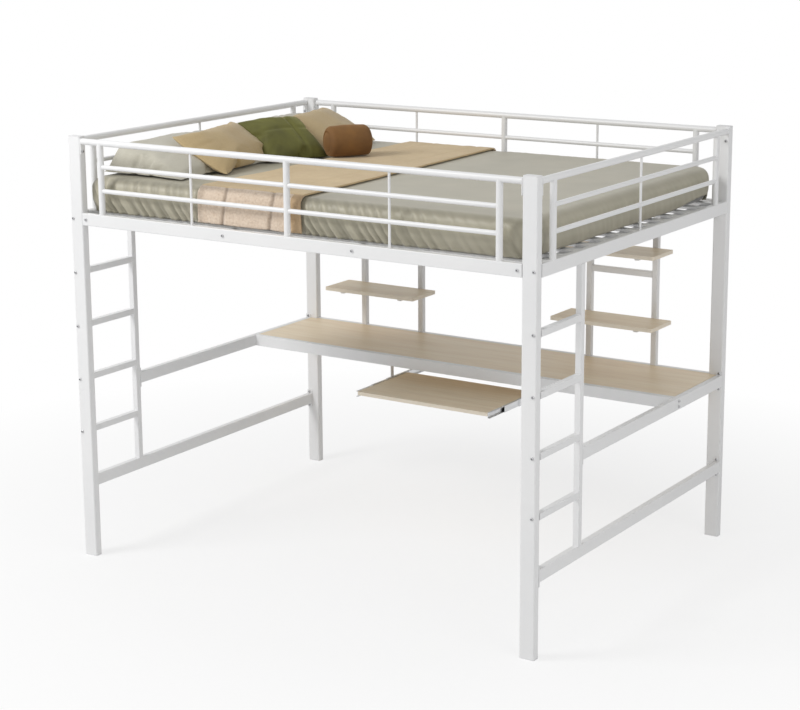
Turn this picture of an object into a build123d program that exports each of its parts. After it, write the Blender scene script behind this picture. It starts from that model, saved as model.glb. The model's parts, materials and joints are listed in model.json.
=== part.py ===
from build123d import *
import math
import os

# Loft bed with desk. X runs along the bed, Y from the open front to the desk at the back, Z up.
# The origin is on the floor under the middle of the frame. All sizes are in millimetres.

# Overall frame
LENGTH = 2100.0
WIDTH = 1600.0
HEIGHT = 1720.0

# Corner posts: rectangular steel tube with a plug in each end
POST_X = 60.0
POST_Y = 35.0
POST_WALL = 1.5
POST_R = 6.0
CAP_T = 4.0
FOOT_T = 6.0
PLUG_DEPTH = 18.0
PLUG_GAP = 0.3

# Bed rails, end stringers and desk rails share one tube
RAIL_H = 48.0
RAIL_T = 25.0
RAIL_WALL = 1.5
RAIL_R = 3.0

# End ladders, slats and cross beams
TUBE = 25.0
TUBE_WALL = 1.2
TUBE_R = 3.0
STRINGER_Z = 304.0
RUNG_COUNT = 4
LADDER_W = 303.0
BEAM_X = 293.0
BEAM_H = 24.0
SLAT_W = 40.0
SLAT_T = 12.0
SLAT_COUNT = 13
SLAT_MARGIN = 70.0
SLAT_GAP = 1.0
LEDGE_W = 62.0
LEDGE_T = 3.0

# Welded end plates with one bolt above and one below the tube
PLATE_T = 4.0
PLATE_EXTRA = 17.0

# Guard panels
GUARD_DROP = 20.0
GUARD_PITCH = 94.0
GUARD_LINES = 3
GUARD_RAIL_D = 25.0
GUARD_POST_D = 25.0
GUARD_BAR_D = 18.0
GUARD_ROD_D = 10.0
GUARD_GAP = 95.0
WELD_GAP = 0.1
TAB_H = 62.0
TAB_W = 22.0

# Desk
DESK_TOP_Z = 695.0
DESK_DEPTH = 460.0
BOARD_T = 15.0
BOARD_GAP = 1.0
DESK_BAR_OUT_X = 760.0

# Shelf rack above the desk
RACK_X = 578.0
RACK_SPREAD = 306.0
RACK_CROSS_DROP = 115.0
SHELF_L = 470.0
SHELF_D = 190.0
SHELF_T = 15.0
SHELF_R = 6.0
SHELF_RISE = 201.0
SHELF_STEP = 299.0
ARM_W = 20.0
ARM_H = 10.0
ARM_SETBACK = 18.0

# Keyboard tray on three-member telescopic slides, drawn out as at rest
TRAY_W = 635.0
TRAY_D = 390.0
TRAY_T = 15.0
TRAY_DROP = 112.0
TRAY_SETBACK = 7.0
TRAY_OUT = 235.0
SLIDE_L = 400.0
SLIDE_WALL = 1.2
SLIDE_GAP = 0.3
SLIDE_INNER_H = 24.0
SLIDE_FLANGE = 10.0
SLIDE_SETBACK = 12.0
HANGER_W = 20.0
HANGER_T = 3.0
HANGER_INSET = 50.0

# Button-head bolts
BOLT_D = 12.0
BOLT_H = 4.5
BOLT_CHAMFER = 1.5
RAIL_BOLT_INSET = 18.0
DESK_BOLT_PITCH = 22.0

# Mattress and bedding
MATTRESS_END_GAP = 35.0
MATTRESS_SIDE_GAP = 30.0
MATTRESS_T = 135.0
MATTRESS_CORNER = 60.0
MATTRESS_EDGE = 32.0
SOFT_GAP = 0.3
SPREAD_T = 6.0
SPREAD_HEM = 3.0
FOLD_PITCH = 88.0
FOLD_FOOT_R = 13.0
FOLD_TIP_R = 2.0
FOLD_H = 95.0
THROW_FROM_HEAD = 550.0
THROW_W = 475.0
THROW_T = 9.0
THROW_HEM = 8.0
THROW_CHANNEL_D = 8.0
THROW_CHANNEL_AT = (115.0, 335.0)
PILLOW_SEAM = 6.0

# Pillows: width, depth, thickness, and the share by which their sides draw in
SAGE_SIZE = (640.0, 430.0, 120.0, 0.05)
TAN_SIZE = (560.0, 360.0, 110.0, 0.06)
GREEN_SIZE = (330.0, 320.0, 105.0, 0.09)
BOLSTER_L = 205.0
BOLSTER_D = 136.0
BOLSTER_R = 38.0
BOLSTER_SINK = 5.0

# Where each one lies: distance from the bed's head edge, y, height of its middle over the bed,
# turn about Z and lean, in degrees
SAGE_FRONT_AT = (190.0, -340.0, 40.0, 0.0, 14.0)
SAGE_BACK_AT = (190.0, 340.0, 40.0, 0.0, 14.0)
TAN_FRONT_AT = (270.0, -240.0, 52.0, 16.0, 22.0)
TAN_BACK_AT = (320.0, 375.0, 55.0, 8.0, 24.0)
GREEN_AT = (350.0, 60.0, 62.0, -22.0, 30.0)
BOLSTER_AT = (585.0, 190.0, 32.0)

# Cuts run past the faces that they open by this much
CUT_OVER = 1.0

# Places that follow from the sizes above
X_OUT = LENGTH / 2
Y_OUT = WIDTH / 2
POST_CX = X_OUT - POST_X / 2
POST_CY = Y_OUT - POST_Y / 2
X_IN = X_OUT - POST_X
Y_IN = Y_OUT - POST_Y
RAIL_X = X_OUT - RAIL_T / 2
RAIL_Y = Y_OUT - RAIL_T / 2
X_CLEAR = X_OUT - RAIL_T
Y_CLEAR = Y_OUT - RAIL_T
GUARD_TOP = HEIGHT - GUARD_DROP
RAIL_TOP = GUARD_TOP - GUARD_LINES * GUARD_PITCH
RAIL_Z = RAIL_TOP - RAIL_H / 2
RAIL_BOTTOM = RAIL_TOP - RAIL_H
RUNG_PITCH = (RAIL_Z - STRINGER_Z) / (RUNG_COUNT + 1)
SLAT_LOW = RAIL_TOP - SLAT_T
BEAM_Z = SLAT_LOW - BEAM_H / 2
LADDER_Y = -(Y_IN - LADDER_W)
DESK_RAIL_Z = DESK_TOP_Z - RAIL_H / 2
DESK_FRONT = Y_OUT - DESK_DEPTH
DESK_FRONT_IN = DESK_FRONT + RAIL_T
SHELF_LOW_Z = DESK_TOP_Z + SHELF_RISE
SHELF_HIGH_Z = SHELF_LOW_Z + SHELF_STEP
RACK_CROSS_Z = SHELF_HIGH_Z - RACK_CROSS_DROP
RACK_FACE_Y = RAIL_Y - TUBE / 2
TRAY_TOP_Z = DESK_TOP_Z - TRAY_DROP
TRAY_FRONT = DESK_FRONT + TRAY_SETBACK - TRAY_OUT
HEAD_X = MATTRESS_END_GAP - X_CLEAR
MATTRESS_L = 2 * (X_CLEAR - MATTRESS_END_GAP)
MATTRESS_W = 2 * (Y_CLEAR - MATTRESS_SIDE_GAP)
THROW_LEFT = HEAD_X + THROW_FROM_HEAD
THROW_RIGHT = THROW_LEFT + THROW_W
SIDES = {"left": -1, "right": 1}
FACES = {"front": -1, "back": 1}


def bar(size_x, size_y, size_z, center, radius=0.0, along="X"):
    """A straight bar with its long edges rounded."""
    body = Box(size_x, size_y, size_z)
    if radius > 0:
        body = fillet(body.edges().filter_by({"X": Axis.X, "Y": Axis.Y, "Z": Axis.Z}[along]), radius)
    return Pos(*center) * body


def tube(length, width, height, wall, radius, center, along):
    """A straight rectangular steel tube. Width and height are its two cross sizes in axis order."""
    def sizes(inset, extra):
        a, b, c = length + extra, width - 2 * inset, height - 2 * inset
        return {"X": (a, b, c), "Y": (b, a, c), "Z": (b, c, a)}[along]
    bore = bar(*sizes(wall, 2 * CUT_OVER), center, radius - wall, along)
    return bar(*sizes(0.0, 0.0), center, radius, along) - bore


def rail(length, center, along):
    return tube(length, RAIL_T, RAIL_H, RAIL_WALL, RAIL_R, center, along)


def square_tube(length, center, along):
    return tube(length, TUBE, TUBE, TUBE_WALL, TUBE_R, center, along)


def rod(start, end, diameter):
    """A solid round bar between two points."""
    line = Vector(*end) - Vector(*start)
    plane = Plane(origin=start, z_dir=line)
    return extrude(plane * Circle(diameter / 2), line.length)


def coped(piece, *members):
    """Cuts a round bar's ends to the round members that it is welded to."""
    for start, end, diameter in members:
        piece = piece - rod(start, end, diameter + 2 * WELD_GAP)
    return piece


def group(pieces):
    return Compound(children=list(pieces))


def end_plate(y_face, side, z, outward):
    """Plate welded on the end of a rail that runs along Y. It lies against a post or ladder upright."""
    center = (side * RAIL_X, y_face - outward * PLATE_T / 2, z)
    return bar(RAIL_T, PLATE_T, RAIL_H + 2 * PLATE_EXTRA, center, RAIL_R, "Y")


def bolt(point, outward):
    """Button head of a bolt, seated on the face at the point."""
    plane = Plane(origin=point, z_dir=outward)
    head = extrude(plane * Circle(BOLT_D / 2), BOLT_H)
    top = head.faces().sort_by(lambda face: (face.center() - Vector(*point)).dot(Vector(*outward)))[-1]
    return chamfer(top.edges(), BOLT_CHAMFER)


# Corner posts with caps and feet

def post(x_sign, y_sign):
    height = HEIGHT - CAP_T - FOOT_T
    center = (x_sign * POST_CX, y_sign * POST_CY, FOOT_T + height / 2)
    return tube(height, POST_X, POST_Y, POST_WALL, POST_R, center, "Z")


def plug(x_sign, y_sign, flange_low, flange_high, shank_low, shank_high):
    """Plastic end plug: a flange over the tube's end and a shank inside it."""
    x, y = x_sign * POST_CX, y_sign * POST_CY
    flange_at = (x, y, (flange_low + flange_high) / 2)
    flange = bar(POST_X, POST_Y, flange_high - flange_low, flange_at, POST_R, "Z")
    inset = 2 * (POST_WALL + PLUG_GAP)
    center = (x, y, (shank_low + shank_high) / 2)
    shank_r = POST_R - POST_WALL
    return flange + bar(POST_X - inset, POST_Y - inset, shank_high - shank_low, center, shank_r, "Z")


CORNERS = [(sx, sy) for sx in (-1, 1) for sy in (-1, 1)]
nodes = {}
for side, sx in SIDES.items():
    for face, sy in FACES.items():
        nodes[f"post_{face}_{side}"] = post(sx, sy)
cap_low = HEIGHT - CAP_T
nodes["post_caps"] = group(
    plug(sx, sy, cap_low, HEIGHT, cap_low - PLUG_DEPTH, cap_low) for sx, sy in CORNERS)
nodes["post_feet"] = group(plug(sx, sy, 0, FOOT_T, FOOT_T, FOOT_T + PLUG_DEPTH) for sx, sy in CORNERS)

# Bed frame

for face, sy in FACES.items():
    nodes[f"side_rail_{face}"] = rail(2 * X_IN, (0, sy * RAIL_Y, RAIL_Z), "X")
for side, sx in SIDES.items():
    nodes[f"end_rail_{side}"] = rail(2 * Y_IN, (sx * RAIL_X, 0, RAIL_Z), "Y")


def ledge(side):
    """Angle on the inside of an end rail that carries the slats' ends."""
    flat = Pos(side * (X_CLEAR - LEDGE_W / 2), 0, SLAT_LOW - LEDGE_T / 2) * Box(LEDGE_W, 2 * Y_IN, LEDGE_T)
    drop = SLAT_LOW - RAIL_BOTTOM
    leg = Pos(side * (X_CLEAR - LEDGE_T / 2), 0, SLAT_LOW - drop / 2) * Box(LEDGE_T, 2 * Y_IN, drop)
    return flat + leg


nodes["slat_ledges"] = group(ledge(sx) for sx in SIDES.values())
nodes["cross_beams"] = group(
    tube(2 * Y_CLEAR, TUBE, BEAM_H, TUBE_WALL, TUBE_R, (sx * BEAM_X, 0, BEAM_Z), "Y")
    for sx in SIDES.values()
)
slat_span = 2 * (Y_CLEAR - SLAT_MARGIN)
slat_z = SLAT_LOW + SLAT_T / 2
nodes["slats"] = group(
    tube(2 * (X_CLEAR - SLAT_GAP), SLAT_W, SLAT_T, TUBE_WALL, TUBE_R,
         (0, slat_span * (i / (SLAT_COUNT - 1) - 0.5), slat_z), "X")
    for i in range(SLAT_COUNT)
)

# End stringers and ladders

ladder_low = STRINGER_Z + RAIL_H / 2
ladder_high = RAIL_BOTTOM
rung_length = LADDER_W - TUBE / 2
for side, sx in SIDES.items():
    nodes[f"end_stringer_{side}"] = rail(2 * (Y_IN - PLATE_T), (sx * RAIL_X, 0, STRINGER_Z), "Y")
    middle = (sx * RAIL_X, LADDER_Y, (ladder_low + ladder_high) / 2)
    nodes[f"ladder_upright_{side}"] = square_tube(ladder_high - ladder_low, middle, "Z")
    nodes[f"ladder_rungs_{side}"] = group(
        square_tube(rung_length, (sx * RAIL_X, -Y_IN + rung_length / 2, RAIL_Z - k * RUNG_PITCH), "Y")
        for k in range(1, RUNG_COUNT + 1)
    )

# Desk frame and top

desk_side_front = LADDER_Y + TUBE / 2
desk_run = Y_IN - desk_side_front - 2 * PLATE_T
plates = []
for side, sx in SIDES.items():
    middle = (sx * RAIL_X, (desk_side_front + Y_IN) / 2, DESK_RAIL_Z)
    nodes[f"desk_side_rail_{side}"] = rail(desk_run, middle, "Y")
    plates += [end_plate(-Y_IN, sx, STRINGER_Z, -1), end_plate(Y_IN, sx, STRINGER_Z, 1)]
    plates += [end_plate(desk_side_front, sx, DESK_RAIL_Z, -1), end_plate(Y_IN, sx, DESK_RAIL_Z, 1)]
nodes["rail_end_plates"] = group(plates)
nodes["desk_front_rail"] = rail(2 * X_CLEAR, (0, DESK_FRONT + RAIL_T / 2, DESK_RAIL_Z), "X")
nodes["desk_back_rail"] = rail(2 * X_IN, (0, RAIL_Y, DESK_RAIL_Z), "X")

board_low = DESK_TOP_Z - BOARD_T
slide_out_x = TRAY_W / 2 + SLIDE_FLANGE + 2 * (SLIDE_WALL + SLIDE_GAP)
hanger_out_x = slide_out_x + HANGER_T
desk_bar_in_x = hanger_out_x + TUBE / 2
desk_bar_z = board_low - TUBE / 2
desk_bar_run = Y_CLEAR - DESK_FRONT_IN
nodes["desk_support_bars"] = group(
    square_tube(desk_bar_run, (x, (Y_CLEAR + DESK_FRONT_IN) / 2, desk_bar_z), "Y")
    for x in (-DESK_BAR_OUT_X, -desk_bar_in_x, desk_bar_in_x, DESK_BAR_OUT_X)
)


def desk_board():
    """Board let into the desk frame, notched round the back posts."""
    depth = desk_bar_run - 2 * BOARD_GAP
    center = (0, (Y_CLEAR + DESK_FRONT_IN) / 2, board_low + BOARD_T / 2)
    board = Pos(*center) * Box(2 * (X_CLEAR - BOARD_GAP), depth, BOARD_T)
    for sx in SIDES.values():
        notch = Box(POST_X + 2 * BOARD_GAP, POST_Y + 2 * BOARD_GAP, 3 * BOARD_T)
        board = board - Pos(sx * POST_CX, POST_CY, board_low) * notch
    return board


nodes["desk_top"] = desk_board()

# Shelf rack

RACK_POSTS = [sx * (RACK_X + k * RACK_SPREAD / 2) for sx in (-1, 1) for k in (-1, 1)]
rack_low, rack_high = DESK_TOP_Z, RAIL_BOTTOM
nodes["rack_uprights"] = group(
    square_tube(rack_high - rack_low, (x, RAIL_Y, (rack_low + rack_high) / 2), "Z")
    for x in RACK_POSTS
)
nodes["rack_crossbars"] = group(
    square_tube(RACK_SPREAD - TUBE, (sx * RACK_X, RAIL_Y, RACK_CROSS_Z), "X")
    for sx in SIDES.values()
)
SHELVES = {
    "shelf_left": (-1, SHELF_LOW_Z),
    "shelf_lower_right": (1, SHELF_LOW_Z),
    "shelf_upper_right": (1, SHELF_HIGH_Z),
}
arm_l = SHELF_D - ARM_SETBACK
arms = []
for name, (sx, top) in SHELVES.items():
    center = (sx * RACK_X, RACK_FACE_Y - SHELF_D / 2, top - SHELF_T / 2)
    nodes[name] = bar(SHELF_L, SHELF_D, SHELF_T, center, SHELF_R, "Z")
    arm_z = top - SHELF_T - ARM_H / 2
    for k in (-1, 1):
        arm_x = sx * RACK_X + k * RACK_SPREAD / 2
        arms.append(bar(ARM_W, arm_l, ARM_H, (arm_x, RACK_FACE_Y - arm_l / 2, arm_z), TUBE_R, "Y"))
nodes["shelf_arms"] = group(arms)

# Keyboard tray, its slides and hangers


def channel(side, web_x, open_to, height, y_low):
    """One slide member, a steel channel along Y. Its web is at web_x, its flanges point to open_to."""
    flange = SLIDE_FLANGE
    x_mid = web_x + open_to * flange / 2
    body = Box(flange, SLIDE_L, height)
    hollow = Pos(open_to * SLIDE_WALL, 0, 0) * Box(flange, SLIDE_L + 2 * CUT_OVER, height - 2 * SLIDE_WALL)
    member = Pos(x_mid, y_low + SLIDE_L / 2, slide_z) * (body - hollow)
    return member if side > 0 else mirror(member, about=Plane.YZ)


slide_fixed_y = DESK_FRONT + SLIDE_SETBACK
slide_z = TRAY_TOP_Z - SLIDE_INNER_H / 2
step = SLIDE_WALL + SLIDE_GAP
slide_outer_h = SLIDE_INNER_H + 4 * step
nodes["slide_outer"] = group(
    channel(sx, slide_out_x, -1, slide_outer_h, slide_fixed_y) for sx in SIDES.values())
nodes["slide_middle"] = group(
    channel(sx, slide_out_x - step, -1, SLIDE_INNER_H + 2 * step, slide_fixed_y - TRAY_OUT / 2)
    for sx in SIDES.values())
nodes["slide_inner"] = group(
    channel(sx, TRAY_W / 2, 1, SLIDE_INNER_H, slide_fixed_y - TRAY_OUT) for sx in SIDES.values())

hanger_low = slide_z - slide_outer_h / 2
hanger_h = board_low - hanger_low
HANGER_YS = [slide_fixed_y + HANGER_INSET, slide_fixed_y + SLIDE_L - HANGER_INSET]
nodes["tray_hangers"] = group(
    bar(HANGER_T, HANGER_W, hanger_h, (sx * (slide_out_x + HANGER_T / 2), y, hanger_low + hanger_h / 2))
    for sx in SIDES.values() for y in HANGER_YS
)
nodes["keyboard_tray"] = bar(
    TRAY_W, TRAY_D, TRAY_T, (0, TRAY_FRONT + TRAY_D / 2, TRAY_TOP_Z - TRAY_T / 2), SHELF_R, "Z")

# Guard panels: a top rail between the posts, uprights on the bed rail, and bars and rods between them


def guard(along, sign, half_run, upright_at, rod_at):
    """Returns the top rail, uprights and infill of one guard panel."""
    def at(run, z):
        return (run, sign * RAIL_Y, z) if along == "X" else (sign * RAIL_X, run, z)
    levels = [RAIL_TOP + (k + 1) * GUARD_PITCH for k in range(GUARD_LINES)]
    top = levels[-1]
    end = half_run - PLATE_T
    top_rail = (at(-end, top), at(end, top), GUARD_RAIL_D)
    uprights = [(at(u, RAIL_TOP), at(u, top), GUARD_POST_D) for u in upright_at]
    bars = []
    for z in levels[:-1]:
        for a, b in zip(range(len(upright_at) - 1), range(1, len(upright_at))):
            bars.append((at(upright_at[a], z), at(upright_at[b], z), GUARD_BAR_D))
    infill = [coped(rod(*item), *uprights) for item in bars]
    for r in rod_at:
        stops = [RAIL_TOP] + levels
        for low, high in zip(stops, stops[1:]):
            infill.append(coped(rod(at(r, low), at(r, high), GUARD_ROD_D), top_rail, *bars))
    return rod(*top_rail), group(coped(rod(*item), top_rail) for item in uprights), group(infill)


def add_guard(name, panel):
    nodes[f"guard_{name}_top_rail"], nodes[f"guard_{name}_uprights"], nodes[f"guard_{name}_infill"] = panel


side_upright = X_IN - GUARD_GAP
end_upright = Y_IN - GUARD_GAP
for face, sy in FACES.items():
    panel = guard("X", sy, X_IN, (-side_upright, 0, side_upright), (-side_upright / 2, side_upright / 2))
    add_guard(face, panel)
for side, sx in SIDES.items():
    add_guard(side, guard("Y", sx, Y_IN, (-end_upright, end_upright), (0,)))

# Tabs that hold the guards' top rails on the posts
tab_top = GUARD_TOP + GUARD_RAIL_D / 2
tab_z = tab_top - TAB_H / 2
tab_bolt_z = tab_top - TAB_H + TAB_W / 2
tabs = []
for sx, sy in CORNERS:
    tabs.append(bar(PLATE_T, TAB_W, TAB_H, (sx * (X_IN - PLATE_T / 2), sy * RAIL_Y, tab_z), RAIL_R, "X"))
    tabs.append(bar(TAB_W, PLATE_T, TAB_H, (sx * RAIL_X, sy * (Y_IN - PLATE_T / 2), tab_z), RAIL_R, "Y"))
nodes["guard_tabs"] = group(tabs)

# Bolt heads on the posts, rails, plates and tabs

bolts = []
for sx in SIDES.values():
    for k in range(RUNG_COUNT + 1):
        bolts.append(bolt((sx * RAIL_X, -Y_OUT, RAIL_Z - k * RUNG_PITCH), (0, -1, 0)))
    bolts.append(bolt((sx * RAIL_X, Y_OUT, RAIL_Z), (0, 1, 0)))
    for sy in FACES.values():
        bolts.append(bolt((sx * BEAM_X, sy * Y_OUT, BEAM_Z), (0, sy, 0)))
        bolts.append(bolt((sx * (X_IN - RAIL_BOLT_INSET), sy * Y_OUT, RAIL_Z), (0, sy, 0)))
        bolts.append(bolt((sx * (X_IN - PLATE_T), sy * RAIL_Y, tab_bolt_z), (-sx, 0, 0)))
        bolts.append(bolt((sx * RAIL_X, sy * (Y_IN - PLATE_T), tab_bolt_z), (0, -sy, 0)))
    for k in (-1, 1):
        plate_bolt = k * (RAIL_H + PLATE_EXTRA) / 2
        bolts.append(bolt((sx * RAIL_X, PLATE_T - Y_IN, STRINGER_Z + plate_bolt), (0, 1, 0)))
        bolts.append(bolt((sx * RAIL_X, Y_IN - PLATE_T, STRINGER_Z + plate_bolt), (0, -1, 0)))
        bolts.append(bolt((sx * RAIL_X, desk_side_front + PLATE_T, DESK_RAIL_Z + plate_bolt), (0, 1, 0)))
        bolts.append(bolt((sx * RAIL_X, Y_IN - PLATE_T, DESK_RAIL_Z + plate_bolt), (0, -1, 0)))
        desk_bolt_z = DESK_RAIL_Z + k * DESK_BOLT_PITCH / 2
        bolts.append(bolt((sx * X_OUT, DESK_FRONT + RAIL_T / 2, desk_bolt_z), (sx, 0, 0)))
nodes["bolts"] = group(bolts)

# Mattress with its bedspread, and the throw across it

bed_low = RAIL_TOP
bed_top = RAIL_TOP + MATTRESS_T
spread_top = bed_top + SOFT_GAP + SPREAD_T
throw_top = spread_top + SOFT_GAP + THROW_T


def soft_block(grow, low):
    """The mattress shape grown by a skin, from a given height up."""
    size_z = bed_top + grow - low
    block = Box(MATTRESS_L + 2 * grow, MATTRESS_W + 2 * grow, size_z)
    block = fillet(block.edges().filter_by(Axis.Z), MATTRESS_CORNER + grow)
    block = fillet(block.faces().sort_by(Axis.Z)[-1].edges(), MATTRESS_EDGE + grow)
    return Pos(0, 0, low + size_z / 2) * block


def fold(x, sign):
    """One fold of the bedspread's drop: narrow at the edge of the bed and full at the hem."""
    y = sign * (MATTRESS_W / 2 + SOFT_GAP)
    return Pos(x, y, bed_low + SPREAD_HEM + FOLD_H / 2) * Cone(FOLD_FOOT_R, FOLD_TIP_R, FOLD_H)


def bedspread():
    skin = soft_block(SOFT_GAP + SPREAD_T, bed_low + SPREAD_HEM)
    count = int((MATTRESS_L / 2 - MATTRESS_CORNER) / FOLD_PITCH)
    places = [k * FOLD_PITCH for k in range(-count, count + 1)]
    for x in places:
        if not THROW_LEFT - FOLD_FOOT_R < x < THROW_RIGHT + FOLD_FOOT_R:
            skin = skin + fold(x, -1) + fold(x, 1)
    return skin - soft_block(SOFT_GAP, bed_low - SPREAD_HEM)


def saddle(grow, low):
    """A block over the bed's full width between the throw's two edges."""
    size_z = bed_top + grow - low
    block = Box(THROW_RIGHT - THROW_LEFT, MATTRESS_W + 2 * grow, size_z)
    edges = block.faces().sort_by(Axis.Z)[-1].edges().filter_by(Axis.X)
    block = fillet(edges, MATTRESS_EDGE + grow)
    return Pos((THROW_LEFT + THROW_RIGHT) / 2, 0, low + size_z / 2) * block


def throw():
    inner = SPREAD_T + 2 * SOFT_GAP
    cloth = saddle(inner + THROW_T, bed_low + THROW_HEM) - saddle(inner, bed_low - THROW_HEM)
    front = -(MATTRESS_W / 2 + inner + THROW_T)
    for along in THROW_CHANNEL_AT:
        x = THROW_LEFT + along
        cloth = cloth - rod((x, front, bed_low), (x, front, bed_top), THROW_CHANNEL_D)
    return cloth


nodes["mattress"] = soft_block(0.0, bed_low)
nodes["bedspread"] = bedspread()
nodes["throw_blanket"] = throw()

# Pillows and cushions. Each one is pressed flat by the bed and by the ones that it leans on.

STATIONS = (-1.0, -0.85, -0.5, 0.0, 0.5, 0.85, 1.0)


def cushion(size, grow=0.0):
    """A crowned pillow lying flat, grown by a skin. Its sides draw in between the corners."""
    width, depth, thickness, pull = size
    seam = PILLOW_SEAM / 2 + grow
    sections = []
    for t in STATIONS:
        half = (width / 2 + grow) * (1 - pull * (1 - t * t))
        crown = seam + (thickness - PILLOW_SEAM) / 2 * math.sqrt(1 - t * t)
        plane = Plane(origin=(0, t * (depth / 2 + grow), 0), x_dir=(1, 0, 0), z_dir=(0, -1, 0))
        upper = ThreePointArc((-half, 0), (0, crown), (half, 0))
        lower = ThreePointArc((half, 0), (0, -crown), (-half, 0))
        sections.append(plane * make_face([upper, lower]))
    return loft(sections)


def placed(piece, place):
    """Leans a pillow back about its lower edge and turns it on the bed. It faces the bed's foot."""
    from_head, y, lift, turn, lean = place
    at = Pos(HEAD_X + from_head, y, pillow_floor + lift)
    return at * Rot(0, 0, turn) * Rot(0, lean, 0) * Rot(0, 0, 90) * piece


def rested(piece, floor, under):
    """Presses a pillow on the surface below it and on the pillows under it."""
    reach = LENGTH
    piece = piece - Pos(0, 0, floor - reach / 2) * Box(reach, reach, reach)
    for other in under:
        piece = piece - other
    return max(piece.solids(), key=lambda solid: solid.volume)


def bolster():
    """A round bolster with full, rounded ends, along X."""
    body = Rot(0, 90, 0) * Cylinder(BOLSTER_D / 2, BOLSTER_L)
    return fillet(body.edges().filter_by(GeomType.CIRCLE), BOLSTER_R)


PILLOWS = {
    "sage_pillow_front": (SAGE_SIZE, SAGE_FRONT_AT),
    "sage_pillow_back": (SAGE_SIZE, SAGE_BACK_AT),
    "tan_pillow_front": (TAN_SIZE, TAN_FRONT_AT),
    "tan_pillow_back": (TAN_SIZE, TAN_BACK_AT),
    "green_cushion": (GREEN_SIZE, GREEN_AT),
}
pillow_floor = spread_top + SOFT_GAP
under = []
for name, (size, place) in PILLOWS.items():
    nodes[name] = rested(placed(cushion(size), place), pillow_floor, under)
    under.append(placed(cushion(size, SOFT_GAP), place))
bolster_floor = throw_top + SOFT_GAP
bolster_from_head, bolster_y, bolster_turn = BOLSTER_AT
bolster_z = bolster_floor + BOLSTER_D / 2 - BOLSTER_SINK
round_pillow = Pos(HEAD_X + bolster_from_head, bolster_y, bolster_z) * Rot(0, 0, bolster_turn) * bolster()
nodes["brown_bolster"] = rested(round_pillow, bolster_floor, [])

os.makedirs("parts", exist_ok=True)
for name, shape in nodes.items():
    export_step(shape, f"parts/{name}.step")
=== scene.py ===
import json
import math

import bmesh
import bpy
import numpy as np
from mathutils import Matrix, Vector, noise


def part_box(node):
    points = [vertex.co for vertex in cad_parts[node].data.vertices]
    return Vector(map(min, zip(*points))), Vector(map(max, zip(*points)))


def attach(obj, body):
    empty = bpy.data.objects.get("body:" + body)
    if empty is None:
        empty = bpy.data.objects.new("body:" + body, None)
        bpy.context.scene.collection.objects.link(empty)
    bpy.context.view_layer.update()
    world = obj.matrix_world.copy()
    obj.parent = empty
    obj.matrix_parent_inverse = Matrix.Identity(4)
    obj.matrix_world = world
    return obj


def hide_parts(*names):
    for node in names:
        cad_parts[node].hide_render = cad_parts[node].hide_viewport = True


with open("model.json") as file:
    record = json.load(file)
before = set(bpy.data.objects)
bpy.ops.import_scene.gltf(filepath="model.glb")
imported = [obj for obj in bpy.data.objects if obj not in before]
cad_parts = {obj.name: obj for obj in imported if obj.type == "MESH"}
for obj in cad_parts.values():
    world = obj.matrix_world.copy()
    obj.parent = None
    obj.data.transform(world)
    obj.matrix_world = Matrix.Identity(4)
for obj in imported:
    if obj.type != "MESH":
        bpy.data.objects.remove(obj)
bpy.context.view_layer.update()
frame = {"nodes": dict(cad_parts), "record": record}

# Loft bed with desk: finishes for the steel, the boards and the slides, and the made-up bed on top.
# All sizes are in metres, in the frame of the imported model.

# Camera
CAMERA_AT = (4.152, -6.380, 2.678)
CAMERA_YAW = 33.22
CAMERA_PITCH = 12.39
CAMERA_ROLL = -0.35
FOCAL_PX = 1932.0
IMAGE_W = 800.0
SENSOR_W = 36.0
SHIFT_Y = -0.06

# Light. Each lamp has its place, the point that it faces, its width and its power
SKY_STRENGTH = 0.44
LAMPS = {
    "key": ((-2.8, -3.8, 4.6), (0.0, 0.0, 1.0), 2.2, 162.0),
    "fill": ((4.5, -2.0, 3.2), (0.0, 0.0, 0.9), 3.0, 46.0),
    "low": ((1.2, -5.0, 1.1), (0.2, 0.3, 0.6), 2.5, 9.0),
}

# Floor: half its side, and its share of plain white at a near and a far distance
FLOOR_HALF = 30.0
FLOOR_FADE = (1.2, 3.0)
FLOOR_WHITE = (0.72, 1.0)

# Mattress cover
MATTRESS_STEP = 0.03
MATTRESS_TOP_R = 0.026
MATTRESS_LOW_R = 0.046
MATTRESS_CORNER_R = 0.06
MATTRESS_CORD = 0.004
MATTRESS_SEAM = 0.009
MATTRESS_WAIST = 0.002
MATTRESS_RINGS = (0.70, 0.4, 0.2, 0.1)

# Bedspread
SPREAD_STEP = 0.006
SPREAD_GAP = 0.0035
SPREAD_RINGS = 16
SPREAD_DROP_ROWS = 12
SPREAD_EDGE_R = 0.040
SPREAD_CORNER_R = 0.066
SPREAD_HEM = 0.012
PLEAT_PITCH = 0.047
PLEAT_DEPTH = 0.018
PLEAT_LEAN = 0.075
HEM_TUCK = 0.014
HEAD_FULLNESS = 0.014
DROP_BULGE = 0.003
DROP_WAVE = 0.0015
HEM_LIFT_CORNER = 0.026
HEM_LIFT_FOOT = 0.006
HEM_WAVE = 0.004
TOP_RIPPLE = 0.0016
TOP_CREASE = 0.0009
PRESSED_IN = 0.0022
PRESSED_DOWN = 0.0015

# Throw
THROW_LEFT = -0.440
THROW_RIGHT_FRONT = 0.042
THROW_RIGHT_BACK = -0.025
THROW_T = 0.007
THROW_FADE = 0.02
THROW_EDGE_R = 0.044
THROW_DROP_ROWS = 20
THROW_EDGE_ROWS = 9
THROW_TOP_ROWS = 90
THROW_COLUMNS = 120
THROW_SEAMS = (-0.325, -0.105)
SEAM_W = 0.008
SEAM_BOW = 0.02
SEAM_DEPTH_DROP = 0.0065
SEAM_DEPTH_TOP = 0.0016
DROP_PUFF = 0.0022
CURL = 0.0016
TRIM_W = 0.045

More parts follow.
